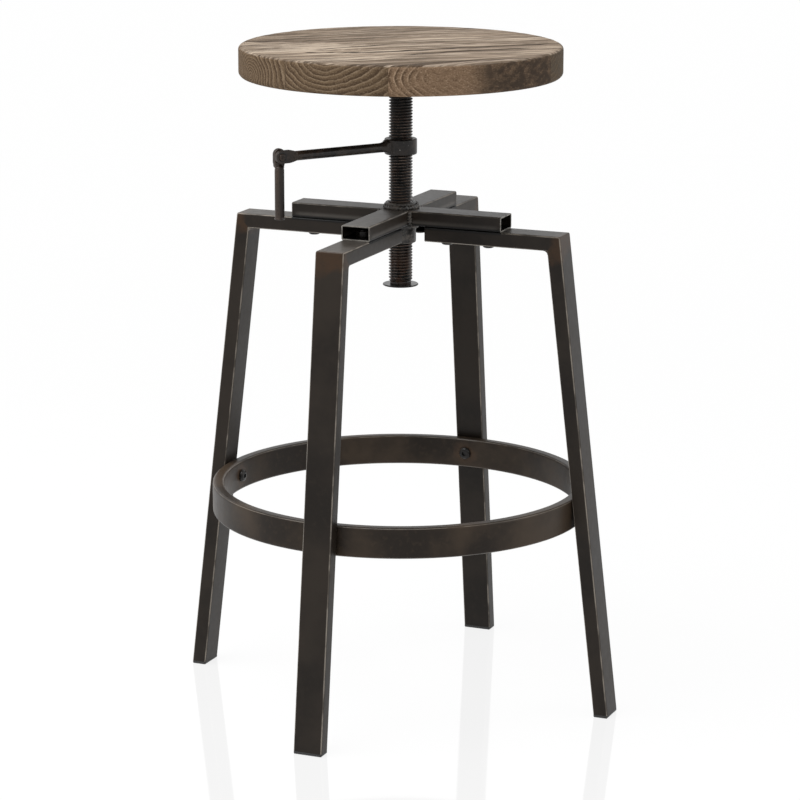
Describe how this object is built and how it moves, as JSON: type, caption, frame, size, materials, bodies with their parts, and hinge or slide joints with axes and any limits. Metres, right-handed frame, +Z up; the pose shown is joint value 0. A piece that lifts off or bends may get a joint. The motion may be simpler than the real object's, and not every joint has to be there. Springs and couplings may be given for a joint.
{
  "type": "adjustable bar stool",
  "caption": "Backless bar stool: round glued-board seat on a screw with a folding crank, over a cross-braced base of bent tube legs with a foot ring.",
  "frame": {"origin": "on the floor, under the middle of the stool", "axes": "+Z up along the screw; the four legs stand on the X and Y axes, the front one on -Y"},
  "size_m": [0.4952, 0.4952, 0.71],
  "materials": {
    "frame_steel": "dark bronze patina, satin, worn at the edges",
    "weld_steel": "dark patina, rough",
    "screw_steel": "oiled dark steel, satin",
    "crank_steel": "blackened forging, satin",
    "fastener_steel": "black oxide, satin",
    "plated_steel": "zinc plated, satin",
    "seat_wood": "weathered grey-brown boards, matte",
    "glide_plastic": "matte"
  },
  "bodies": {
    "base": {"hub_sleeve": "frame_steel", "cross_arm_front": "frame_steel", "cross_arm_right": "frame_steel", "cross_arm_rear": "frame_steel", "cross_arm_left": "frame_steel", "hub_top_weld": "weld_steel", "hub_bottom_weld": "weld_steel", "corner_welds": "weld_steel", "leg_front": "frame_steel", "leg_right": "frame_steel", "leg_rear": "frame_steel", "leg_left": "frame_steel", "foot_glide_front": "glide_plastic", "foot_glide_right": "glide_plastic", "foot_glide_rear": "glide_plastic", "foot_glide_left": "glide_plastic", "arm_bolts": "fastener_steel", "arm_nuts": "fastener_steel", "foot_ring": "frame_steel", "ring_bolts": "fastener_steel", "ring_inserts": "plated_steel"},
    "stop": {"stop_washer": "screw_steel"},
    "seat_and_screw": {"screw_rod": "screw_steel", "end_screw": "fastener_steel", "seat_plate": "frame_steel", "plate_weld": "weld_steel", "seat_screws": "plated_steel", "seat_main_board": "seat_wood", "seat_front_board": "seat_wood", "crank": "crank_steel", "collar_pin": "plated_steel", "pivot_pin": "crank_steel"},
    "handle": {"fold_handle": "crank_steel"}
  },
  "joints": [
    {"name": "seat_lift", "type": "slide", "parent": "base", "child": "stop", "axis": [0, 0, 1], "range_m": [-0.0141, 0.0451]},
    {"name": "seat_turn", "type": "hinge", "parent": "stop", "child": "seat_and_screw", "pos_m": [0, 0, 0.6], "axis": [0, 0, 1], "range_deg": [-1587, 5102]},
    {"name": "handle_fold", "type": "hinge", "parent": "seat_and_screw", "child": "handle", "pos_m": [-0.08437, -0.11916, 0.6024], "axis": [-0.8161, 0.5779, 0], "range_deg": [-10, 205]}
  ],
  "couplings": [
    {"joint": "seat_lift", "follows": "seat_turn", "m_per_rad": 0.00050532}
  ]
}
